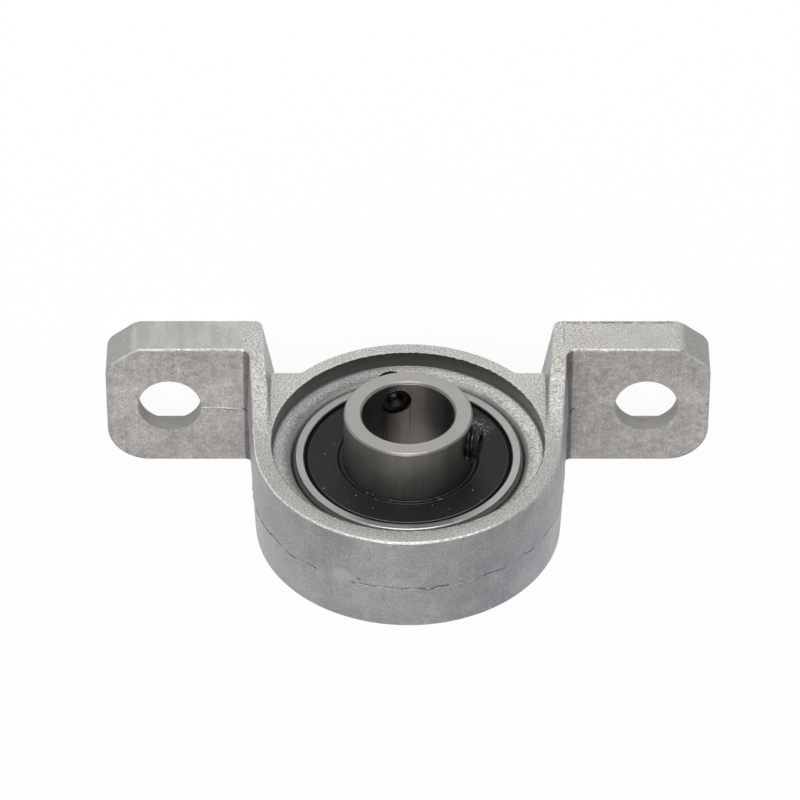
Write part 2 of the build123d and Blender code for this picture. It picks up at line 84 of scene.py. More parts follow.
# ---- node helper
class Shader:
    """The nodes of one material or world, with short names for those in use.

    Sizes and places are in millimetres, and a mask is 1 inside and 0 outside.
    """

    def __init__(self, name: str, world: bool = False) -> None:
        """Start a material with a Principled surface, or a world.

        Args:
            name: its name.
            world: whether it is a world.
        """
        self.made = (bpy.data.worlds if world else bpy.data.materials).new(name)
        self.made.use_nodes = True
        self.tree = self.made.node_tree
        self.surface = self.tree.nodes.get("Principled BSDF")

    def node(self, kind: str, *values: object, **settings: object) -> bpy.types.Node:
        """Add a node.

        Args:
            kind: the node's type, without the leading ShaderNode.
            values: what its first inputs are fed, in order.
            settings: its properties.

        Returns:
            The new node.
        """
        made = self.tree.nodes.new("ShaderNode" + kind)
        for key, value in settings.items():
            setattr(made, key, value)
        for socket, value in zip(made.inputs, values):
            self.feed(socket, value)
        return made

    def feed(self, socket: Socket, value: object) -> None:
        """Link a socket to its source, or set its value.

        Args:
            socket: the socket.
            value: the source, a colour or a number.
        """
        if isinstance(value, Socket):
            self.tree.links.new(value, socket)
        elif isinstance(value, tuple) and socket.type == "RGBA":
            socket.default_value = (*value, 1.0)
        else:
            socket.default_value = value

    def set(self, **inputs: object) -> None:
        """Set sockets of the surface, named with underscores for spaces."""
        for key, value in inputs.items():
            self.feed(self.surface.inputs[key.replace("_", " ")], value)

    def point(self, kind: str = "Object") -> Socket:
        """Give the point's coordinates of a kind."""
        return self.node("TexCoord").outputs[kind]

    def parts(self, kind: str) -> list[Socket]:
        """Give X, Y and Z of a kind of coordinates."""
        return list(self.node("SeparateXYZ", self.point(kind)).outputs)

    def stretched(self, scale: tuple[float, float, float]) -> Socket:
        """Give object coordinates with each axis scaled."""
        still = (0.0, 0.0, 0.0)
        return self.node("Mapping", self.point(), still, still, scale).outputs["Vector"]

    def noise(
        self, size: float, detail: float = 2.0, rough: float = 0.5, vector: Socket | None = None
    ) -> Socket:
        """Give noise from 0 to 1, whose largest features have a size."""
        vector = self.point() if vector is None else vector
        return self.node("TexNoise", vector, 0.0, 1 / (size * MM), detail, rough).outputs["Fac"]

    def dots(self, spacing: float, size: float) -> Socket:
        """Mask scattered dots, whose radius is a share of their spacing."""
        cells = self.node("TexVoronoi", self.point(), 0.0, 1 / (spacing * MM), feature="F1")
        return self.spread(cells.outputs["Distance"], size, size / 2)

    def near(self, place: Place, reach: float, soft: float) -> Socket:
        """Mask what is within reach of a place, with a soft edge outside it."""
        gap = self.node("VectorMath", self.point(), Vector(place) * MM, operation="DISTANCE")
        return self.ramp(gap.outputs["Value"], reach + soft, reach)

    def maths(self, operation: str, *values: object) -> Socket:
        """Give the result of one Math node."""
        return self.node("Math", *values, operation=operation).outputs[0]

    def times(self, *values: object) -> Socket:
        """Multiply values."""
        return reduce(partial(self.maths, "MULTIPLY"), values)

    def plus(self, *values: object) -> Socket:
        """Add values."""
        return reduce(partial(self.maths, "ADD"), values)

    def most(self, *values: object) -> Socket:
        """Give the largest of several values."""
        return reduce(partial(self.maths, "MAXIMUM"), values)

    def rest(self, value: object) -> Socket:
        """Give one less the value."""
        return self.maths("SUBTRACT", 1.0, value)

    def length(self, first: Socket, second: Socket) -> Socket:
        """Give the length of a line from its two parts."""
        return self.maths("SQRT", self.plus(self.times(first, first), self.times(second, second)))

    def above(self, value: Socket, place: float) -> Socket:
        """Mask what lies beyond a place."""
        return self.maths("GREATER_THAN", value, place * MM)

    def below(self, value: Socket, place: float) -> Socket:
        """Mask what lies short of a place."""
        return self.maths("LESS_THAN", value, place * MM)

    def spread(
        self, value: object, low: float, high: float, to_low: object = 0.0, to_high: object = 1.0
    ) -> Socket:
        """Map a range onto another and clamp it."""
        return self.node("MapRange", value, low, high, to_low, to_high).outputs["Result"]

    def ramp(self, value: Socket, low: float, high: float, *ends: object) -> Socket:
        """Map a range of places, as spread does."""
        return self.spread(value, low * MM, high * MM, *ends)

    def fade(self, mask: Socket, outside: object, inside: object) -> Socket:
        """Give one value outside a mask and another inside it."""
        return self.spread(mask, 0.0, 1.0, outside, inside)

    def varied(self, noise: Socket, low: object, high: object) -> Socket:
        """Stretch the middle of a noise over a range."""
        return self.spread(noise, 0.3, 0.7, low, high)

    def between(
        self, value: Socket, start: float, full: float, falling: float, end: float
    ) -> Socket:
        """Mask a stretch that rises from start to full and sinks from falling to end."""
        return self.times(self.ramp(value, start, full), self.ramp(value, end, falling))

    def line(
        self, value: Socket, place: float, core: float, edge: float, *ends: object
    ) -> Socket:
        """Mask a line with a core and a soft edge, or give other ends than 0 and 1."""
        gap = self.maths("SUBTRACT", value, place * MM)
        return self.ramp(self.maths("ABSOLUTE", gap), edge, core, *ends)

    def blend(self, factor: object, first: object, second: object, **settings: object) -> Socket:
        """Mix two colours.

        Args:
            factor: share of the second.
            first: the first colour.
            second: the second colour.
            settings: properties of the Mix node.

        Returns:
            The mixed colour.
        """
        made = self.node("Mix", data_type="RGBA", **settings)
        for place, value in ((0, factor), (6, first), (7, second)):
            self.feed(made.inputs[place], value)
        return made.outputs[2]

    def shaded(self, colour: object, value: object) -> Socket:
        """Multiply a colour by a value that may pass 1."""
        grey = self.node("CombineColor", value, value, value).outputs[0]
        return self.blend(1.0, colour, grey, blend_type="MULTIPLY", clamp_result=False)

    def toned(self, colour: object, mask: Socket, value: object) -> Socket:
        """Multiply a colour by a value inside a mask."""
        return self.shaded(colour, self.fade(mask, 1.0, value))

    def bump(self, height: object, depth: float, under: Socket | None = None) -> Socket:
        """Give a normal raised by a height.

        Args:
            height: height from 0 to 1.
            depth: how much that is.
            under: the normal that this one lies on.

        Returns:
            The normal.
        """
        made = self.node("Bump")
        self.feed(made.inputs["Distance"], depth * MM)
        self.feed(made.inputs["Height"], height)
        if under is not None:
            self.feed(made.inputs["Normal"], under)
        return made.outputs["Normal"]


# ---- finishes
@dataclass(frozen=True)
class CastSizes:
    """Where the casting's forms begin and end for its finish, in millimetres."""

    seat: float = 13.0  # radius of the spherical seat
    counterbore: float = 14.95  # radius of the shoulder's outer edge
    ring: float = 16.3  # the outside of the ring lies beyond this radius
    web: float = 15.25  # the webs' roots, along X
    foot: float = 18.4  # the tops of the feet start here, along X
    corner: float = 30.0  # the feet's cut corners start here, along X
    bolt: float = 26.5  # middle of a bolt hole, along X
    bolt_radius: float = 3.53
    band_end: float = -17.25  # end of the -X foot's front band, along X
    base_line: float = -17.68  # height of the painted shadow line under that foot's burr


class CastSurface(Shader):
    """The casting's shader, with where a point lies, as distances and as masks."""

    def __init__(self, name: str, size: CastSizes) -> None:
        """Work out where the point lies.

        Args:
            name: the material's name.
            size: where the casting's forms begin and end.
        """
        super().__init__(name)
        self.x, self.y, self.z = self.parts("Object")
        self.across = self.maths("ABSOLUTE", self.parts("Normal")[1])
        self.reach = self.maths("ABSOLUTE", self.x)
        self.radius = self.length(self.x, self.z)
        self.facing = self.spread(self.across, 0.86, 0.96)
        self.foot = self.above(self.reach, size.foot)
        self.corner = self.above(self.reach, size.corner)
        self.far = self.ramp(self.reach, 18.0, 25.0)
        self.ring = self.ramp(self.z, -9.0, 3.0)
        self.outer = self.above(self.radius, size.ring)
        self.inside = self.below(self.radius, size.counterbore)
        self.seat = self.below(self.radius, size.seat)
        along = self.maths("SUBTRACT", self.reach, size.bolt * MM)
        self.hole = self.below(self.length(along, self.y), size.bolt_radius)
        lip = self.between(self.radius, 12.6, 12.9, 13.4, 13.6)  # edge in front of the seat
        lip = self.times(lip, self.spread(self.across, 0.2, 0.5))
        self.machined = self.times(self.inside, self.rest(self.facing), self.rest(lip))
        self.stain = self.noise(6.0, 3.0, 0.6)
        self.mottle = self.noise(2.0, 4.0, 0.62)


@dataclass(frozen=True)
class CastZinc:
    """Die-cast zinc: sparkling faces, drawn side walls, bright edges, machined inside."""

    face: Colour = (0.43, 0.43, 0.405)
    cold: Colour = (0.385, 0.402, 0.388)  # shoulder towards +X
    ring_wall: Colour = (0.375, 0.373, 0.38)
    shaded_blue_wall: Colour = (0.335, 0.333, 0.362)  # walls towards -X, bluer and darker; the darkening is painted shade
    foot_wall: Colour = (0.46, 0.442, 0.426)
    # worn bare edges, made brighter still as a painted highlight
    edge: Colour = (0.66, 0.675, 0.64)
    # painted shade: the bolt holes' walls are darker for the shade inside the holes
    shaded_bolt_hole: Colour = (0.31, 0.31, 0.28)
    # painted shade: the counterbore is near black for the shade in that recess
    counterbore: Colour = (0.11, 0.11, 0.102)
    seat: Colour = (0.30, 0.30, 0.28)
    sizes: CastSizes = CastSizes()
    metallic: float = 0.65
    grain: float = 0.2  # size of the grain, mm
    relief: float = 0.05  # height of the grain, mm
    stained: Place = (25.5, -6.0, -13.0)  # front of the +X foot
    pits: tuple[tuple[Place, float], ...] = (
        ((5.3, -0.25, 16.1), 0.1),
        ((16.4, 0.5, 4.5), 0.3),
    )  # places and radii beside the parting line
    marks: tuple[tuple[Place, float, float], ...] = (
        ((-18.1, 0.6, -12.6), 0.15, 0.2),
        ((-18.35, 0.4, -12.85), 0.1, 0.15),
        ((-33.2, -0.2, -13.1), 0.15, 0.2),
    )  # places, radii and soft edges of the mould's marks on the -X foot

    def build(self) -> Material:
        """Build the material.

        Returns:
            The material.
        """
        s = CastSurface("cast_zinc", self.sizes)
        grain = s.noise(self.grain, 2.0, 0.6)
        uneven = s.spread(s.mottle, 0.35, 0.65, -0.3, 0.3)
        gate = s.spread(s.plus(s.near(GATE, 0.7, 0.8), uneven), 0.2, 0.8)
        gate = s.times(gate, s.near(GATE, 1.2, 0.4))
        line = self.parting(s)
        slant = s.times(s.spread(s.across, 0.12, 0.4), s.spread(s.across, 0.93, 0.8))
        edge = s.times(slant, s.rest(s.inside), s.rest(s.corner))
        bevel = s.times(slant, s.corner)
        # painted shade: the feet's cut corners are darker, most towards -X
        corner = s.shaded(self.face, s.ramp(s.x, -1.0, 1.0, 0.67, 0.78))
        # painted highlight: a broken bright line along the tops of the cut corners
        tip = s.times(s.ramp(s.z, -13.2, -13.14), bevel, s.spread(s.stain, 0.45, 0.5))
        wall = s.toned(s.blend(bevel, s.toned(self.wall(s), line, 0.38), corner), tip, 1.45)
        # painted shade: walls inside the counterbore take half the face colour
        wall = s.blend(s.inside, wall, s.shaded(self.face, 0.5))
        cast = s.blend(s.facing, wall, self.flat(s))
        cast = s.shaded(cast, s.varied(s.mottle, 0.93, 1.06))
        cast = s.shaded(cast, s.varied(s.stain, 0.96, 1.03))
        legs = s.fade(s.far, s.fade(s.ring, 1.0, 0.65), 0.3)
        # more grain and more painted glints on the shoulder towards -X
        bright = s.times(s.inside, s.ramp(s.x, 3.0, -6.0))
        rugged = s.times(s.facing, s.most(legs, bright))
        cast = self.sparkling(s, cast, grain, gate, rugged)
        cast = self.edged(s, cast, edge)
        # painted shade on the bolt holes' walls
        shaded_bolt_hole = s.shaded(self.shaded_bolt_hole, s.spread(s.stain, 0.35, 0.65, 0.85, 1.1))
        cast = s.blend(s.times(s.hole, s.above(s.reach, 20.0)), cast, shaded_bolt_hole)
        # the counterbore's near-black colour is painted shade
        cut = s.blend(s.seat, self.counterbore, self.seat)
        s.set(Base_Color=s.blend(s.machined, cast, cut), Metallic=self.metallic)
        rough = s.fade(s.times(edge, s.rest(s.foot)), s.varied(s.mottle, 0.46, 0.56), 0.36)
        s.set(Roughness=s.fade(s.machined, rough, 0.3))
        height = s.times(grain, s.fade(rugged, 0.5, 1.0), s.rest(s.machined))
        lower = s.bump(s.mottle, 0.05, s.bump(s.rest(line), 0.1, s.bump(gate, 0.03)))
        s.set(Normal=s.bump(height, self.relief, lower))
        return s.made

    def parting(self, s: CastSurface) -> Socket:
        """Mask the broken line where the halves of the mould met, and its pits.

        Args:
            s: the material being built.

        Returns:
            The mask.
        """
        wander = s.varied(s.noise(2.5, 2.0), -0.2 * MM, 0.2 * MM)
        broken = s.spread(s.noise(3.2, 2.0, 0.6), 0.42, 0.52)
        line = s.times(s.line(s.plus(s.y, wander), PARTING, 0.05, 0.14), broken)
        line = s.times(line, s.outer, s.rest(s.foot), s.rest(s.near(GATE, 1.0, 0.2)))
        return s.most(line, *(s.near(place, size, 0.15) for place, size in self.pits))

    def sparkling(
        self, s: CastSurface, cast: Socket, grain: Socket, gate: Socket, rugged: Socket
    ) -> Socket:
        """Scatter light and dark grains and painted glints over a colour.

        Args:
            s: the material being built.
            cast: the colour.
            grain: fine noise.
            gate: mask of the gate, which is smoother.
            rugged: mask of the rugged faces.

        Returns:
            The colour with grains.
        """
        plain = s.times(s.facing, s.ramp(s.x, 18.0, 18.6))  # front band of the +X foot
        bars = s.noise(1.3, 1.0, 0.5, s.stretched((1.0, 1.0, 0.25)))
        cast = s.toned(cast, plain, s.spread(bars, 0.35, 0.65, 0.88, 1.05))
        calm = s.times(s.rest(s.times(gate, 0.8)), s.rest(s.times(plain, 0.65)))
        depth = s.times(s.plus(0.18, s.times(rugged, 0.25)), calm)
        speck = s.times(s.spread(grain, 0.34, 0.66, -1.0, 1.0), depth)
        # painted glints: bright dots where the grain would catch the light
        glint = s.times(s.spread(s.noise(0.24, 1.0), 0.62, 0.7), rugged, 0.3)
        return s.shaded(cast, s.plus(s.fade(gate, 1.0, 1.16), speck, glint))

    def edged(self, s: CastSurface, cast: Socket, edge: Socket) -> Socket:
        """Darken the feet's edges raggedly, and break up the bright edges.

        Args:
            s: the material being built.
            cast: the colour.
            edge: mask of the rounded edges.

        Returns:
            The colour with edges.
        """
        ragged = s.spread(s.noise(0.5, 3.0, 0.7), 0.54, 0.46)
        plain = s.fade(s.times(edge, s.foot), 1.0, 0.85)
        cast = s.shaded(cast, s.fade(s.times(ragged, edge, s.foot), plain, 0.45))
        broken = s.spread(s.noise(0.7, 3.0, 0.65), 0.42, 0.58, 0.25, 1.0)
        thin = s.spread(s.noise(0.45, 3.0, 0.7), 0.44, 0.54)
        thin = s.times(s.spread(s.across, 0.35, 0.5), thin, 0.5)
        # bright edges: worn bare zinc with a painted highlight
        return s.blend(s.times(edge, s.fade(s.foot, broken, thin)), cast, self.edge)

    def flat(self, s: CastSurface) -> Socket:
        """Colour what faces front or back: legs, bands, rim and shoulder, with painted light and
        shade.

        Args:
            s: the material being built.

        Returns:
            The colour.
        """
        # painted shade: darker towards the ring's top and on the feet, a little lighter towards -X
        tone = s.fade(s.far, s.fade(s.ring, 1.04, 0.8), 0.93)
        face = s.shaded(self.face, s.times(tone, s.ramp(s.x, -18.0, 0.0, 1.05, 1.0)))
        band = s.ramp(s.x, -17.0, -17.4, 0.0, 0.6)
        face = s.blend(s.times(band, s.rest(s.corner)), face, self.foot_wall)
        # painted highlight: a bright line along the rim's inner edge, on its lower half
        rim = s.times(s.ramp(s.radius, 15.3, 15.0), s.ramp(s.z, 2.0, -4.0), s.rest(s.inside))
        face = s.toned(face, rim, 1.14)
        # painted light: on the ring's top, darker inside and lighter towards the outer edge
        top = s.times(s.ramp(s.z, 9.0, 13.0), s.rest(s.inside))
        face = s.toned(face, top, s.ramp(s.radius, 15.1, 16.6, 0.86, 1.12))
        # painted light and shade on the shoulder: lighter towards -X and low on that side, darker
        # towards the seat and by the counterbore wall
        side = s.ramp(s.x, -7.0, 7.0, 1.16, 0.9)
        fall = s.ramp(s.radius, 13.0, 14.1, s.ramp(s.x, -6.0, 6.0, 0.62, 0.36), 1.06)
        tone = s.times(side, fall, s.ramp(s.radius, 14.3, 14.8, 1.0, 0.86))
        shoulder = s.shaded(s.blend(s.ramp(s.x, 0.0, 7.0), self.face, self.cold), tone)
        low = s.ramp(s.z, -5.0, 3.0, 1.15, 0.95)
        face = s.blend(s.inside, face, s.shaded(shoulder, s.ramp(s.x, 2.0, -4.0, 1.0, low)))
        # painted shadow: a dark line along the crease at the webs' roots
        root = s.line(s.reach, self.sizes.web, 0.08, 0.26)
        root = s.times(root, s.between(s.z, -11.6, -10.9, -5.0, -1.5))
        return s.shaded(s.toned(face, root, 0.42), self.base_line(s))

    def base_line(self, s: CastSurface) -> Socket:
        """Paint a broken shadow line under the -X foot's burr, and painted shade where its band
        ends.

        Args:
            s: the material being built.

        Returns:
            What the colour is multiplied by.
        """
        broken = s.spread(s.noise(0.9, 3.0, 0.65), 0.44, 0.5)
        low = s.times(s.line(s.z, self.sizes.base_line, 0.05, 0.14), broken)
        low = s.times(low, s.between(s.x, -29.0, -28.8, -17.7, -17.5), s.below(s.y, 0.0))
        end = s.line(s.x, self.sizes.band_end, 0.04, 0.11)
        end = s.times(end, s.ramp(s.z, -13.6, -14.2))
        return s.rest(s.plus(s.times(low, 0.6), s.times(end, 0.3)))

    def wall(self, s: CastSurface) -> Socket:
        """Colour the side walls and the tops of the feet.

        Args:
            s: the material being built.

        Returns:
            The colour.
        """
        drag = s.noise(1.0, 3.0, 0.6, s.stretched((1.1, 0.1, 1.1)))
        # towards -X the walls turn bluer and darker; the darkening is painted shade
        around = s.blend(s.ramp(s.x, -3.0, -12.0), self.ring_wall, self.shaded_blue_wall)
        around = s.blend(s.spread(s.stain, 0.42, 0.58, 0.0, 0.4), around, self.foot_wall)
        # painted light: lighter behind the mould's parting plane, darker in front of it
        around = s.shaded(around, s.ramp(s.y, 1.0, -1.0, 1.08, 0.94))
        # painted shade: the walls low between the legs, under the ring, are darker
        inner = s.times(s.ramp(s.reach, 15.7, 15.2), s.ramp(s.z, -10.6, -11.2))
        around = s.toned(around, inner, 0.86)
        root = s.times(s.ramp(s.reach, 17.3, 17.6), s.ramp(s.z, -10.8, -11.6))
        foot = s.most(s.foot, root)
        wall = s.blend(foot, around, self.foot_wall)
        wall = s.shaded(wall, s.varied(drag, s.spread(s.far, 0.0, 0.3, 0.97, 0.92), 1.05))
        return s.toned(wall, foot, self.top(s))

    def top(self, s: CastSurface) -> Socket:
        """Shade the tops of the feet: painted shade at the legs' roots, scratches, blotches, the
        seam drawn as a painted highlight and shadow, and mould marks.

        Args:
            s: the material being built.

        Returns:
            What the colour is multiplied by.
        """
        scratch = s.noise(0.22, 2.0, 0.6, s.stretched((1.0, 0.06, 1.0)))
        blotch = s.noise(1.6, 4.0, 0.7)
        speck = s.noise(0.6, 4.0, 0.75)
        # painted shade in the fillets at the legs' roots
        root = s.times(s.ramp(s.reach, 18.32, 18.12), s.ramp(s.z, -11.5, -12.3))
        tone = s.times(
            1.04,
            s.spread(scratch, 0.59, 0.67, 1.0, 1.17),
            s.spread(blotch, 0.5, 0.66, 1.03, 0.88),
            s.spread(speck, 0.38, 0.62, 0.86, 1.14),
            s.fade(root, 1.0, 0.46),
            self.patches(s),
        )
        # the seam on the +X foot: a painted highlight with a painted shadow beside it
        middle = s.plus(s.y, s.varied(s.noise(1.5, 2.0), -0.3 * MM, 0.3 * MM))
        seam = s.between(s.x, 18.5, 18.9, 22.8, 23.1)
        light = s.times(seam, s.line(middle, 0.15, 0.05, 0.13), 0.7)
        dark = s.times(seam, s.line(middle, 0.35, 0.05, 0.12), 0.4)
        tone = s.maths("SUBTRACT", s.plus(tone, light), dark)
        marks = s.most(*(s.near(*mark) for mark in self.marks))
        return s.times(tone, s.fade(marks, 1.0, 0.4))

    def patches(self, s: CastSurface) -> Socket:
        """Rub a strip and a few scratches on the -X foot, and stain the other's front, with
        painted light: the +X foot lighter, the fronts darker.

        Args:
            s: the material being built.

        Returns:
            What the colour is multiplied by.
        """
        # painted light: the +X foot lighter, both feet darker towards the front
        front = s.ramp(s.y, -2.0, -6.0)
        other = s.fade(front, s.ramp(s.y, 1.0, 4.0, 1.12, 1.04), 0.98)
        side = s.ramp(s.x, -1.0, 1.0, s.fade(front, 1.0, 0.88), other)
        strip = s.between(s.x, -22.4, -21.2, -19.3, -18.9)
        fine = s.noise(0.35, 2.0, 0.6, s.stretched((0.12, 1.0, 1.0)))
        cut = s.times(s.spread(fine, 0.63, 0.68), s.ramp(s.y, -4.5, -5.5))
        cut = s.times(cut, s.between(s.x, -23.0, -22.0, -19.5, -19.0))
        spots = s.spread(s.noise(0.5, 3.0, 0.7), 0.48, 0.6, 0.0, 0.3)
        stain = s.times(spots, s.near(self.stained, 1.0, 3.5))
        light = s.plus(1.0, s.times(strip, 0.06), s.times(cut, 0.35))
        return s.times(side, s.maths("SUBTRACT", light, stain))


@dataclass(frozen=True)
class BareEdge:
    """Bright bare zinc of a worn edge or a burr."""

    colour: Colour = (0.8, 0.8, 0.77)
    metallic: float = 0.75
    minus_x_shade: float = 0.45  # painted shade: how bright it is on the feet's -X side

    def build(self) -> Material:
        """Build the material.

        Returns:
            The material.
        """
        s = Shader("bare_edge")
        grain = s.noise(0.3, 2.0, 0.6)
        # painted shade: duller towards -X
        side = s.ramp(s.parts("Object")[0], -11.0, -8.0, self.minus_x_shade, 1.0)
        tone = s.times(s.spread(grain, 0.35, 0.65, 0.6, 1.1), side)
        s.set(Base_Color=s.shaded(self.colour, tone), Metallic=self.metallic)
        s.set(Roughness=s.varied(grain, 0.34, 0.5), Normal=s.bump(grain, 0.03))
        return s.made


@dataclass(frozen=True)
class GroundSteel:
    """Ground bearing steel, with fine streaks along the shaft and turned end faces."""

    name: str = "ground_steel"
    colour: Colour = (0.385, 0.375, 0.355)
    # the wall and the bore are darker than the end faces, partly as painted shade
    wall: Colour = (0.27, 0.262, 0.242)
    bore: Colour = (0.30, 0.285, 0.262)
    chamfer: Colour = (0.20, 0.195, 0.18)
    bore_radius: float = 5.35  # mm
    roughness: float = 0.36
    streak: float = 0.14  # width of a streak, mm

    def build(self) -> Material:
        """Build the material.

        Returns:
            The material.
        """
        s = Shader(self.name)
        x, _, z = s.parts("Object")
        across = s.maths("ABSOLUTE", s.parts("Normal")[1])
        facing = s.spread(across, 0.82, 0.95)
        drawn = s.rest(facing)
        sloping = s.times(s.spread(across, 0.4, 0.6), drawn)
        deep = s.below(s.length(x, z), self.bore_radius)
        streaks = s.noise(self.streak, 2.0, 0.6, s.stretched((1.0, 0.08, 1.0)))
        bands = s.noise(1.0, 2.0, 0.5, s.stretched((1.0, 0.05, 1.0)))
        cloud = s.noise(3.0, 2.0, 0.5)
        # painted reflection: a bright band down the bore at X = -1 mm, dark at its sides
        bore = s.shaded(self.bore, s.line(x, -1.0, 0.7, 3.4, 0.36, 1.32))
        # painted shade on the collar's wall towards -X, and a painted highlight band at X = 1 mm
        wall = s.shaded(self.wall, s.ramp(x, -4.5, -1.5, 0.62, 1.0))
        wall = s.shaded(wall, s.line(x, 1.0, 0.2, 1.6, 1.0, 1.14))
        tone = s.blend(facing, s.blend(deep, wall, bore), self.colour)
        tone = s.blend(s.times(sloping, s.fade(deep, 0.5, 1.0)), tone, self.chamfer)
        tone = s.shaded(tone, s.varied(streaks, 0.96, s.fade(drawn, 1.03, 1.2)))
        tone = s.shaded(tone, s.spread(bands, 0.35, 0.65, s.fade(drawn, 1.0, 0.87), 1.0))
        s.set(Base_Color=s.shaded(tone, s.varied(cloud, 0.96, 1.04)))
        s.set(Metallic=s.fade(drawn, 1.0, 0.9), Normal=s.bump(streaks, 0.002))
        s.set(Roughness=s.varied(cloud, self.roughness - 0.03, self.roughness + 0.03))
        return s.made


@dataclass(frozen=True)
class TurnedSteel:
    """Bearing ring steel, with fine turning lines round the shaft."""

    name: str
    colour: Colour
    roughness: float = 0.3
    line: float = 0.12  # width of a line, mm
    side: float = 0.0  # painted light: how much brighter it is towards -X

    def build(self) -> Material:
        """Build the material.

        Returns:
            The material.
        """
        s = Shader(self.name)
        x, y, z = s.parts("Object")
        profile = s.node("CombineXYZ", s.length(x, z), y)
        lines = s.noise(self.line, 2.0, 0.6, profile.outputs[0])
        cloud = s.noise(1.8, 3.0, 0.55)
        tone = s.shaded(self.colour, s.varied(lines, 0.94, 1.06))
        # painted light across the ring, by side
        tone = s.shaded(tone, s.ramp(x, -10.0, 10.0, 1.0 + self.side, 1.0 - self.side))
        s.set(Base_Color=s.shaded(tone, s.varied(cloud, 0.94, 1.06)), Metallic=1.0)
        s.set(Roughness=s.varied(cloud, self.roughness - 0.03, self.roughness + 0.05))
        s.set(Normal=s.bump(lines, 0.003))
        return s.made


@dataclass(frozen=True)
class PolishedSteel:
    """Lapped steel of the balls, with faint haze."""

    colour: Colour = (0.62, 0.62, 0.61)

    def build(self) -> Material:
        """Build the material.

        Returns:
            The material.
        """
        s = Shader("polished_steel")
        haze = s.noise(0.8, 3.0, 0.6)
        s.set(Base_Color=s.shaded(self.colour, s.varied(haze, 0.97, 1.03)))
        s.set(Metallic=1.0, Roughness=s.varied(haze, 0.06, 0.11))
        return s.made


@dataclass(frozen=True)
class NitrileRubber:
    """Moulded black rubber, dusted with specks of metal."""

    colour: Colour = (0.007, 0.007, 0.0074)
    dust: Colour = (0.30, 0.30, 0.30)
    dusty: Place = (-7.6, -3.7, -4.9)  # where a screw shed filings
    specular: float = 0.24

    def build(self) -> Material:
        """Build the material.

        Returns:
            The material.
        """
        s = Shader("nitrile_rubber")
        x, _, z = s.parts("Object")
        gap_shade = s.ramp(s.length(x, z), 10.9, 11.0)  # painted shade in the gap at the seal's rim
        some = s.maths("GREATER_THAN", s.noise(1.7, 1.0), 0.52)
        dust = s.times(s.dots(0.8, 0.11), some)
        filings = s.times(s.plus(s.dots(0.32, 0.4), 0.08), s.near(self.dusty, 0.7, 1.3), 0.8)
        tone = s.blend(s.most(dust, filings), self.colour, self.dust)
        s.set(Base_Color=s.toned(tone, gap_shade, 0.05), Specular_IOR_Level=self.specular)
        rough = s.varied(s.noise(2.5, 3.0, 0.6), 0.40, 0.54)
        s.set(Roughness=s.fade(gap_shade, rough, 1.0))
        s.set(Normal=s.bump(s.noise(0.25, 3.0, 0.6), 0.008))
        return s.made


@dataclass(frozen=True)
class DustAndGlintRubber:
    """Rubber of a seal's fine ridges, with a painted glint along the top or dusted in stretches.
    """

    name: str
    dusting: float  # 0 for the painted glint only, 1 for full dust
    colour: Colour = (0.012, 0.012, 0.012)
    painted_glint: Colour = (0.11, 0.11, 0.108)
    dust: Colour = (0.34, 0.34, 0.33)

    def build(self) -> Material:
        """Build the material.

        Returns:
            The material.
        """
        s = Shader(self.name)
        z = s.parts("Object")[2]
        # painted glint: the ridges lighter towards +Z
        base = s.blend(s.ramp(z, 4.0, 9.0, 0.0, 1.0 - self.dusting), self.colour, self.painted_glint)
        stretch = s.ramp(z, 1.0, 8.0, 0.64, 0.53)
        broken = s.maths("SUBTRACT", s.noise(2.4, 4.0, 0.7), stretch)
        s.set(Base_Color=s.blend(s.spread(broken, 0.0, 0.06, 0.0, self.dusting), base, self.dust))
        s.set(Roughness=s.varied(s.noise(0.5, 2.0), 0.24, 0.36))
        return s.made


@dataclass(frozen=True)
class BlackOxide:
    """Oiled black oxide of the set screws, with a painted highlight at one tip."""

    colour: Colour = (0.0045, 0.0045, 0.005)
    # colour of the painted highlight
    bright: Colour = (0.34, 0.34, 0.36)
    painted_glint: Place = (1.6, -7.7, -5.63)
    oil: float = 0.15  # weight of the coat
    oil_roughness: float = 0.12
    specular: float = 0.26

    def build(self) -> Material:
        """Build the material.

        Returns:
            The material.
        """
        s = Shader("black_oxide")
        cloud = s.noise(0.5, 3.0, 0.6)
        # painted highlight: a bright metallic spot on one screw's tip
        bare = s.near(self.painted_glint, 0.08, 0.28)
        s.set(Base_Color=s.blend(bare, self.colour, self.bright), Metallic=s.times(bare, 0.6))
        s.set(Coat_Weight=self.oil, Coat_Roughness=self.oil_roughness)
        s.set(Roughness=s.varied(cloud, 0.26, 0.4), Specular_IOR_Level=self.specular)
        s.set(Normal=s.bump(cloud, 0.004))
        return s.made


# ---- bench
class End(Enum):
    """Ends of the bearing, with the side of its middle that each lies on."""

    FRONT = -1
    BACK = 1


@dataclass(frozen=True)
class Bead:
    """Sizes of a bead along a line, in millimetres."""

    radius: float
    stray: float  # range over which the line wanders
    wave: float  # length of one stray


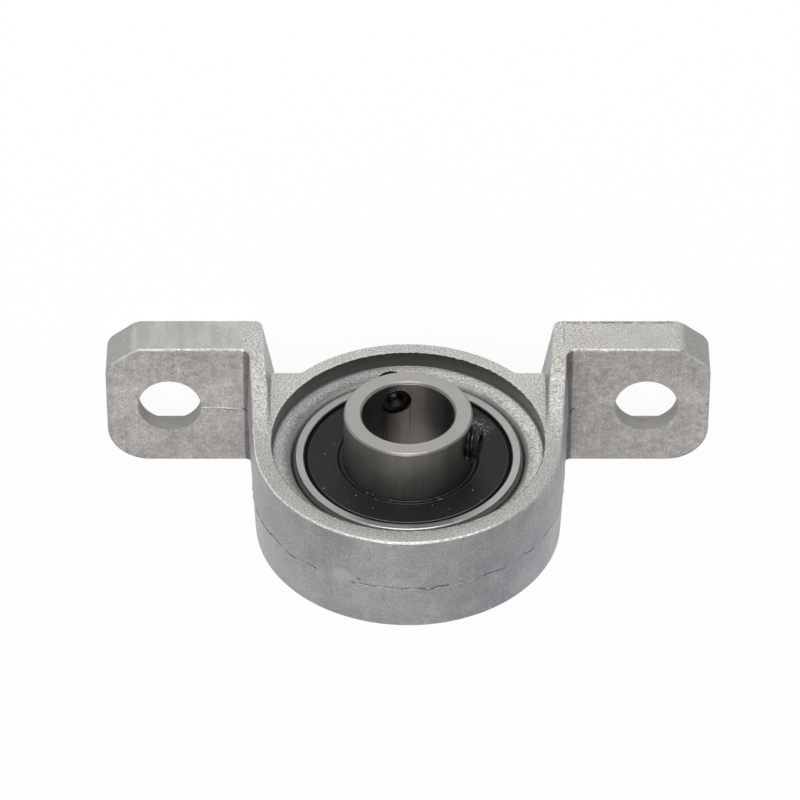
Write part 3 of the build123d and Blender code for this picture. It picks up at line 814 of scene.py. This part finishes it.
class Bench:
    """Modelling steps that the pieces share, done with Blender's own operators."""

    @staticmethod
    def take(piece: Piece) -> None:
        """Leave edit mode, select the piece alone and make it active.

        Args:
            piece: the piece.
        """
        if bpy.context.mode != "OBJECT":
            bpy.ops.object.mode_set(mode="OBJECT")
        bpy.ops.object.select_all(action="DESELECT")
        piece.select_set(True)
        bpy.context.view_layer.objects.active = piece

    @staticmethod
    def edit(piece: Piece) -> None:
        """Open a piece in edit mode with all of it selected.

        Args:
            piece: the piece.
        """
        Bench.take(piece)
        bpy.ops.object.mode_set(mode="EDIT")
        bpy.ops.mesh.select_mode(type="VERT")
        bpy.ops.mesh.select_all(action="SELECT")

    @staticmethod
    def remove(piece: Piece, test: Test) -> None:
        """Delete the vertices of a piece that pass a test, and stay in edit mode.

        Args:
            piece: the piece.
            test: tells whether a place is deleted.
        """
        Bench.edit(piece)
        bpy.ops.mesh.select_all(action="DESELECT")
        bpy.ops.object.mode_set(mode="OBJECT")
        for vertex in piece.data.vertices:
            vertex.select = test(vertex.co)
        bpy.ops.object.mode_set(mode="EDIT")
        bpy.ops.mesh.delete(type="VERT")

    @staticmethod
    def copied(node: Piece, name: str) -> Piece:
        """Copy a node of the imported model, with its vertices merged.

        Args:
            node: the node.
            name: the copy's name.

        Returns:
            The copy, in object mode.
        """
        piece = bpy.data.objects.new(name, node.data.copy())
        piece.data.name = name
        bpy.context.scene.collection.objects.link(piece)
        Bench.take(piece)
        bpy.ops.mesh.customdata_custom_splitnormals_clear()
        Bench.edit(piece)
        bpy.ops.mesh.remove_doubles(threshold=MERGE)
        bpy.ops.object.mode_set(mode="OBJECT")
        return piece

    @staticmethod
    def modify(piece: Piece, kind: str, **settings: object) -> None:
        """Add a modifier to a piece and apply it.

        Args:
            piece: the piece.
            kind: the modifier's type.
            settings: its properties.
        """
        Bench.take(piece)
        bpy.ops.object.modifier_add(type=kind)
        made = piece.modifiers[-1]
        for key, value in settings.items():
            setattr(made, key, value)
        bpy.ops.object.modifier_apply(modifier=made.name)

    @staticmethod
    def smooth(piece: Piece, degrees: float = SMOOTH) -> None:
        """Shade a piece smooth where its faces meet below an angle."""
        Bench.take(piece)
        bpy.ops.object.shade_smooth_by_angle(angle=math.radians(degrees))

    @staticmethod
    def settle(piece: Piece) -> None:
        """Move a piece's place and turn into its mesh."""
        Bench.take(piece)
        bpy.ops.object.transform_apply(location=True, rotation=True, scale=True)

    @staticmethod
    def bead(piece: Piece, size: Bead) -> None:
        """Turn a line of edges into a bead that wanders in and out of the surface.

        Args:
            piece: a piece that is only a line of edges.
            size: the bead's sizes.
        """
        uneven = bpy.data.textures.new(piece.name + "_uneven", "CLOUDS")
        uneven.cloud_type = "COLOR"
        uneven.noise_scale = size.wave * MM
        displace = {"texture": uneven, "texture_coords": "LOCAL", "mid_level": 0.5}
        stray = size.stray * MM
        Bench.modify(piece, "DISPLACE", **displace, direction="RGB_TO_XYZ", strength=stray)
        bpy.ops.object.convert(target="CURVE")
        piece.data.bevel_depth = size.radius * MM
        piece.data.bevel_resolution = 2
        piece.data.use_fill_caps = True
        bpy.ops.object.convert(target="MESH")
        Bench.edit(piece)
        bpy.ops.mesh.remove_doubles(threshold=MERGE)
        bpy.ops.mesh.normals_make_consistent(inside=False)
        Bench.modify(piece, "DISPLACE", **displace, strength=size.radius * MM)
        Bench.smooth(piece)


# ---- sub-assemblies
@dataclass
class CastHousing:
    """The die-cast housing and the marks that its mould left."""

    nodes: dict[str, Piece]
    finish: Material
    edge_finish: Material
    ring_limit: float = 16.2  # the ring's own line lies outside this radius, mm
    leg_limit: float = 17.0  # the legs' outer line lies beyond this, along X
    foot_start: float = 18.6  # and short of this, where the feet's tops start
    leg_top: float = -5.0  # below this height the legs carry the line
    leg_end: float = -12.0  # and stop it here, above the feet
    gate_radius: float = 1.1  # no line inside this
    line_step: float = 0.05  # points of a line lie at least this far apart
    line_cuts: int = 6  # points that are set into each edge of a line
    parting_bead: Bead = Bead(0.03, 0.2, 0.6)
    rim_bead: Bead = Bead(0.075, 0.24, 0.45)
    inner_bead: Bead = Bead(0.05, 0.2, 0.35)
    foot_bead: Bead = Bead(0.07, 0.32, 0.7)
    rim_depth: float = 5.93  # plane of the rim's outer edge, in front of the origin
    inner_depth: float = 5.9893  # plane of the rim's inner edge
    rim_limit: float = 15.8  # radius between the two edges
    rim_end: float = -2.0  # the outer burr stops at this height
    burr_start: float = -19.0  # the foot's burr starts here, along X
    burr_end: float = -29.5
    burr_height: float = 0.2  # from the foot's bottom
    burr_y: float = -7.9  # just behind the foot's front

    def build(self) -> list[Piece]:
        """Dress the casting and add its mould marks.

        Returns:
            The new pieces.
        """
        dress(self.nodes["housing"], self.finish)
        cast, bare = self.finish, self.edge_finish
        foot = (0, 0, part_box("housing")[0].z / MM + self.burr_height)
        rim, inner = (0, -self.rim_depth, 0), (0, -self.inner_depth, 0)
        return [
            self.mark("parting_line", (0, PARTING, 0), self.on_line, self.parting_bead, cast),
            self.mark("rim_burr", rim, self.on_rim, self.rim_bead, bare),
            self.mark("rim_inner_burr", inner, self.in_rim, self.inner_bead, cast),
            self.mark("foot_burr", foot, self.on_foot, self.foot_bead, bare),
        ]

    def on_line(self, place: Vector) -> bool:
        """Tell whether a point is on the outside, clear of the feet's tops and the gate.

        Args:
            place: the point.

        Returns:
            Whether it carries the line.
        """
        x, z = abs(place.x) / MM, place.z / MM
        if z < self.leg_top:
            return z > self.leg_end and self.leg_limit < x < self.foot_start
        fed = math.hypot(place.x / MM - GATE[0], z - GATE[2]) < self.gate_radius
        return math.hypot(x, z) > self.ring_limit and not fed

    def on_rim(self, place: Vector) -> bool:
        """Tell whether a point is on the rim's outer edge, above the burr's end."""
        return not self.in_rim(place) and place.z > self.rim_end * MM

    def in_rim(self, place: Vector) -> bool:
        """Tell whether a point is on the rim's inner edge."""
        return math.hypot(place.x, place.z) < self.rim_limit * MM

    def on_foot(self, place: Vector) -> bool:
        """Tell whether a point is on the front of the -X foot."""
        return self.burr_end * MM < place.x < self.burr_start * MM and place.y < self.burr_y * MM

    def mark(self, name: str, plane: Place, test: Test, size: Bead, finish: Material) -> Piece:
        """Raise a bead on the casting's outline, where a plane cuts it.

        Args:
            name: the bead's name.
            plane: the plane's point nearest the origin.
            test: tells whether a point of the outline carries the bead.
            size: the bead's sizes.
            finish: its material.

        Returns:
            The bead.
        """
        line = Bench.copied(self.nodes["housing"], name)
        Bench.edit(line)
        where = {"plane_co": Vector(plane) * MM, "plane_no": Vector(plane).normalized()}
        bpy.ops.mesh.bisect(**where, threshold=MERGE, clear_inner=True, clear_outer=True)
        bpy.ops.mesh.select_all(action="SELECT")
        bpy.ops.mesh.subdivide(number_cuts=self.line_cuts)
        bpy.ops.mesh.remove_doubles(threshold=self.line_step * MM)
        Bench.remove(line, lambda place: not test(place))
        Bench.bead(line, size)
        dress(line, finish)
        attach(line, "housing")
        return line


@dataclass
class BearingInsert:
    """The sealed ball bearing: rings, seals, balls and cage."""

    nodes: dict[str, Piece]
    collar_finish: Material
    ring_finish: Material
    seal_finish: Material
    lip_finish: Material
    ridge_finish: Material
    washer_finish: Material
    ball_finish: Material
    cage_finish: Material
    edge_round: float = 0.04  # rounding of machined edges, mm
    seal_round: float = 0.06  # rounding of moulded edges
    flat: float = 0.3  # faces that meet below this many degrees become one
    ridge_points: int = 240
    ridge_stray: float = 0.032
    ridge_wave: float = 1.2
    seal_rim: float = 10.0  # ridges beyond this radius carry a painted glint, the others are dusty
    ridges: tuple[tuple[str, float, float, float], ...] = (
        ("lip_ridge", 7.28, 3.5, 0.07),
        ("face_ridge", 7.86, 3.68, 0.05),
        ("rim_ridge", 10.84, 3.68, 0.045),
    )  # name, radius, distance from the bearing's middle and thickness, mm

    def build(self) -> list[Piece]:
        """Dress the bearing and round the edges that show.

        Returns:
            The new pieces.
        """
        plain = {"ball_": self.ball_finish, "cage_": self.cage_finish, "_core": self.washer_finish}
        for name, node in self.nodes.items():
            for part, finish in plain.items():
                if part in name:
                    dress(node, finish)
        return [
            self.rounded("inner_ring", "inner", self.collar_finish, "bearing_rings"),
            self.rounded("outer_ring", "insert", self.ring_finish, "bearing_rings"),
            self.rounded("seal_front", "insert", self.seal_finish, "seal_rubber"),
            self.rounded("seal_back", "insert", self.seal_finish, "seal_rubber"),
            *(
                self.ridge(f"{name}_{end.name.lower()}", end.value * place, radius, thickness)
                for end in End
                for name, radius, place, thickness in self.ridges
            ),
        ]

    def ridge(self, name: str, place: float, radius: float, thickness: float) -> Piece:
        """Raise a fine moulded ridge round a seal.

        Args:
            name: the ridge's name.
            place: its place along Y, in millimetres.
            radius: its radius round the shaft, in millimetres.
            thickness: radius of its section, in millimetres.

        Returns:
            The ridge.
        """
        bpy.ops.object.select_all(action="DESELECT")
        stand = {"location": (0, place * MM, 0), "rotation": (math.radians(90), 0, 0)}
        bpy.ops.mesh.primitive_circle_add(vertices=self.ridge_points, radius=radius * MM, **stand)
        piece = bpy.context.object
        piece.name = name
        Bench.settle(piece)
        Bench.bead(piece, Bead(thickness, self.ridge_stray, self.ridge_wave))
        dress(piece, self.ridge_finish if radius > self.seal_rim else self.lip_finish)
        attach(piece, "insert")
        return piece

    def rounded(self, name: str, body: str, finish: Material, slot: str) -> Piece:
        """Stand a copy with rounded edges in for a node.

        Args:
            name: the node's name.
            body: the body that the copy rides on.
            finish: its material.
            slot: a material slot's name, which only picks the rounding width.

        Returns:
            The copy.
        """
        width = self.seal_round if slot == "seal_rubber" else self.edge_round
        piece = Bench.copied(self.nodes[name], name + "_rounded")
        Bench.edit(piece)
        bpy.ops.mesh.dissolve_limited(angle_limit=math.radians(self.flat))
        limits = {"limit_method": "ANGLE", "angle_limit": ROUNDED, "use_clamp_overlap": False}
        Bench.modify(piece, "BEVEL", width=width * MM, segments=2, **limits)
        Bench.smooth(piece)
        Bench.modify(piece, "WEIGHTED_NORMAL", weight=100, keep_sharp=True)
        dress(piece, finish)
        dress(self.nodes[name], finish)
        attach(piece, body)
        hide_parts(name)
        return piece


@dataclass
class SetScrew:
    """A threaded set screw with a cup point and a hexagon socket."""

    nodes: dict[str, Piece]
    finish: Material
    number: int
    axis: Vector
    pitch: float = 0.7  # mm
    crest: float = 1.96  # radius of the thread's crest
    depth: float = 0.4
    crest_width: float = 0.1
    root_width: float = 0.17
    turns: int = 9
    steps: int = 40  # points in a turn
    cut_below: float = 1.5137  # turns cut off the rod's bottom, clear of its points
    cut_above: float = 0.4871  # turns left off its top
    smooth: float = 38  # faces that meet below this are shaded smooth, degrees

    def build(self) -> Piece:
        """Cut the thread into a copy of the plain screw.

        Returns:
            The screw.
        """
        node = self.nodes[f"set_screw_{self.number}"]
        rod = self.rod()
        screw = Bench.copied(node, f"threaded_screw_{self.number}")
        Bench.modify(screw, "BOOLEAN", operation="INTERSECT", object=rod, solver="EXACT")
        bpy.data.objects.remove(rod)
        Bench.smooth(screw, self.smooth)
        dress(screw, self.finish)
        dress(node, self.finish)
        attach(screw, f"screw_{self.number}")
        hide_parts(node.name)
        return screw

    def rod(self) -> Piece:
        """Turn a threaded rod, longer than the screw, on the screw's axis.

        Returns:
            The rod.
        """
        bpy.ops.object.select_all(action="DESELECT")
        bpy.ops.mesh.primitive_plane_add(size=MM)
        rod = bpy.context.object
        rod.name = "thread_rod"
        Bench.remove(rod, lambda place: place.x > 0 or place.y > 0)
        bpy.ops.mesh.select_all(action="SELECT")
        root, half = self.crest - self.depth, 0.5  # the corner left is half the plane away
        bpy.ops.transform.translate(value=Vector((root + half, half, 0)) * MM)
        flank = (self.pitch - self.crest_width - self.root_width) / 2
        for step in (
            (0, 0, self.root_width),
            (self.depth, 0, flank),
            (0, 0, self.crest_width),
            (-self.depth, 0, flank),
        ):
            bpy.ops.mesh.extrude_region_move(TRANSFORM_OT_translate={"value": Vector(step) * MM})
        turns = {"iterations": self.turns, "steps": self.steps, "render_steps": self.steps}
        Bench.modify(rod, "SCREW", axis="Z", screw_offset=self.pitch * MM, **turns)
        Bench.edit(rod)
        bpy.ops.mesh.remove_doubles(threshold=MERGE)
        bottom = self.cut_below * self.pitch * MM
        top = (self.turns - self.cut_above) * self.pitch * MM
        for level, side in ((bottom, -1), (top, 1)):
            bpy.ops.mesh.select_all(action="SELECT")
            bpy.ops.mesh.bisect(plane_co=(0, 0, level), plane_no=(0, 0, side), clear_outer=True)
            bpy.ops.mesh.edge_face_add()
        bpy.ops.mesh.select_all(action="SELECT")
        bpy.ops.mesh.normals_make_consistent(inside=False)
        bpy.ops.object.mode_set(mode="OBJECT")
        low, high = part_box(f"set_screw_{self.number}")
        centre = (low + high) / 2
        along = centre.dot(self.axis) - (bottom + top) / 2
        rod.rotation_euler = self.axis.to_track_quat("Z", "Y").to_euler()
        rod.location = Vector((0, centre.y, 0)) + self.axis * along
        Bench.settle(rod)
        return rod


# ---- studio
@dataclass
class Studio:
    """Floor, light and camera."""

    lens: float = 245.7  # mm
    camera_distance: float = 597.2  # from the origin, before it is moved across and up, mm
    camera_elevation: float = 49.74  # degrees
    camera_across: float = 0.885  # to the left
    camera_up: float = 8.977
    floor_size: float = 4000.0
    floor_glow: float = 0.95  # how white the floor is to the camera
    world_level: float = 0.5
    world_x: float = 0.04  # how much brighter the world is at +X
    world_y: float = -0.15  # and at +Y
    lamps: tuple[tuple[str, Place, float, float], ...] = (
        ("key", (0, -650, 150), 420, 3.3),
        ("front", (60, -110, 700), 420, 2.4),
    )  # name, place and side in mm, power in W

    def build(self) -> None:
        """Set up the whole studio."""
        self.floor()
        self.world()
        for lamp in self.lamps:
            self.lamp(*lamp)
        self.camera()
        bpy.context.scene.view_settings.view_transform = "Standard"

    def floor(self) -> None:
        """Lay a pale floor under the feet, white to the camera and in reflections."""
        low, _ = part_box("housing")
        bpy.ops.object.select_all(action="DESELECT")
        bpy.ops.mesh.primitive_plane_add(size=self.floor_size * MM, location=(0, 0, low.z))
        plane = bpy.context.object
        plane.name = "floor"
        s = Shader("floor_white")
        s.tree.nodes.remove(s.surface)
        rays = s.node("LightPath").outputs
        seen = s.most(rays["Is Camera Ray"], rays["Is Glossy Ray"], rays["Is Transmission Ray"])
        matt = s.node("BsdfDiffuse", (0.8, 0.8, 0.8)).outputs[0]
        white = s.node("Emission").outputs[0]
        mix = s.node("MixShader", s.times(seen, self.floor_glow), matt, white).outputs[0]
        s.feed(s.tree.nodes["Material Output"].inputs[0], mix)
        plane.data.materials.append(s.made)

    def world(self) -> None:
        """Light the scene from all round, most from the front and from +X."""
        s = Shader("studio", world=True)
        bpy.context.scene.world = s.made
        x, y, _ = s.parts("Generated")
        level = s.maths("MULTIPLY_ADD", x, self.world_x, self.world_level)
        level = s.maths("MULTIPLY_ADD", y, self.world_y, level)
        s.feed(s.tree.nodes["Background"].inputs["Color"], level)

    def lamp(self, name: str, place: Place, size: float, power: float) -> None:
        """Hang a square lamp that faces the bearing.

        Args:
            name: the lamp's name.
            place: where it hangs, in millimetres.
            size: its side, in millimetres.
            power: its power, in watts.
        """
        light = bpy.data.lights.new(name, "AREA")
        light.size = size * MM
        light.energy = power
        lamp = bpy.data.objects.new(name, light)
        lamp.location = Vector(place) * MM
        lamp.rotation_euler = (-Vector(place)).to_track_quat("-Z", "Y").to_euler()
        bpy.context.scene.collection.objects.link(lamp)

    def camera(self) -> None:
        """Look at the collar from in front and above, with the feet at the top."""
        tilt = math.radians(self.camera_elevation)
        back = Vector((0, -math.cos(tilt), math.sin(tilt)))
        right = Vector((-1, 0, 0))
        up = back.cross(right)
        data = bpy.data.cameras.new("camera")
        data.lens = self.lens
        data.sensor_width = 36.0
        data.clip_start = 0.01
        data.clip_end = 10
        camera = bpy.data.objects.new("camera", data)
        spot = back * self.camera_distance + up * self.camera_up - right * self.camera_across
        turn = Matrix((right, up, back)).transposed().to_4x4()
        camera.matrix_world = Matrix.Translation(spot * MM) @ turn
        bpy.context.scene.collection.objects.link(camera)
        bpy.context.scene.camera = camera


# ---- build
def dress(piece: Piece, finish: Material) -> None:
    """Give a piece one finish all over."""
    piece.data.materials.clear()
    piece.data.materials.append(finish)


def main() -> None:
    """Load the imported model, dress it, add its details and set up the studio."""
    logging.basicConfig(level=logging.INFO, format="%(message)s")
    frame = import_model()
    nodes = frame["nodes"]
    pieces = CastHousing(nodes, CastZinc().build(), BareEdge().build()).build()
    insert = BearingInsert(
        nodes,
        collar_finish=GroundSteel().build(),
        # the outer ring is painted lighter towards -X
        ring_finish=TurnedSteel("ring_steel", (0.395, 0.39, 0.375), side=0.06).build(),
        seal_finish=NitrileRubber().build(),
        lip_finish=DustAndGlintRubber("dusty_rubber", 1.0).build(),
        ridge_finish=DustAndGlintRubber("glint_rubber", 0.0).build(),
        washer_finish=TurnedSteel("washer_steel", (0.34, 0.335, 0.32), 0.4).build(),
        ball_finish=PolishedSteel().build(),
        cage_finish=TurnedSteel("pressed_steel", (0.36, 0.35, 0.33), 0.38, 0.3).build(),
    )
    pieces += insert.build()
    oxide = BlackOxide().build()
    for joint in frame["joints"]:
        if joint["name"].startswith("set_screw"):
            number = int(joint["child"].rsplit("_", 1)[1])
            pieces.append(SetScrew(nodes, oxide, number, Vector(joint["axis"])).build())
    for piece in pieces:
        piece.data.calc_loop_triangles()
        LOG.info("%s: %d triangles", piece.name, len(piece.data.loop_triangles))
    Studio().build()


if __name__ == "__main__":
    main()
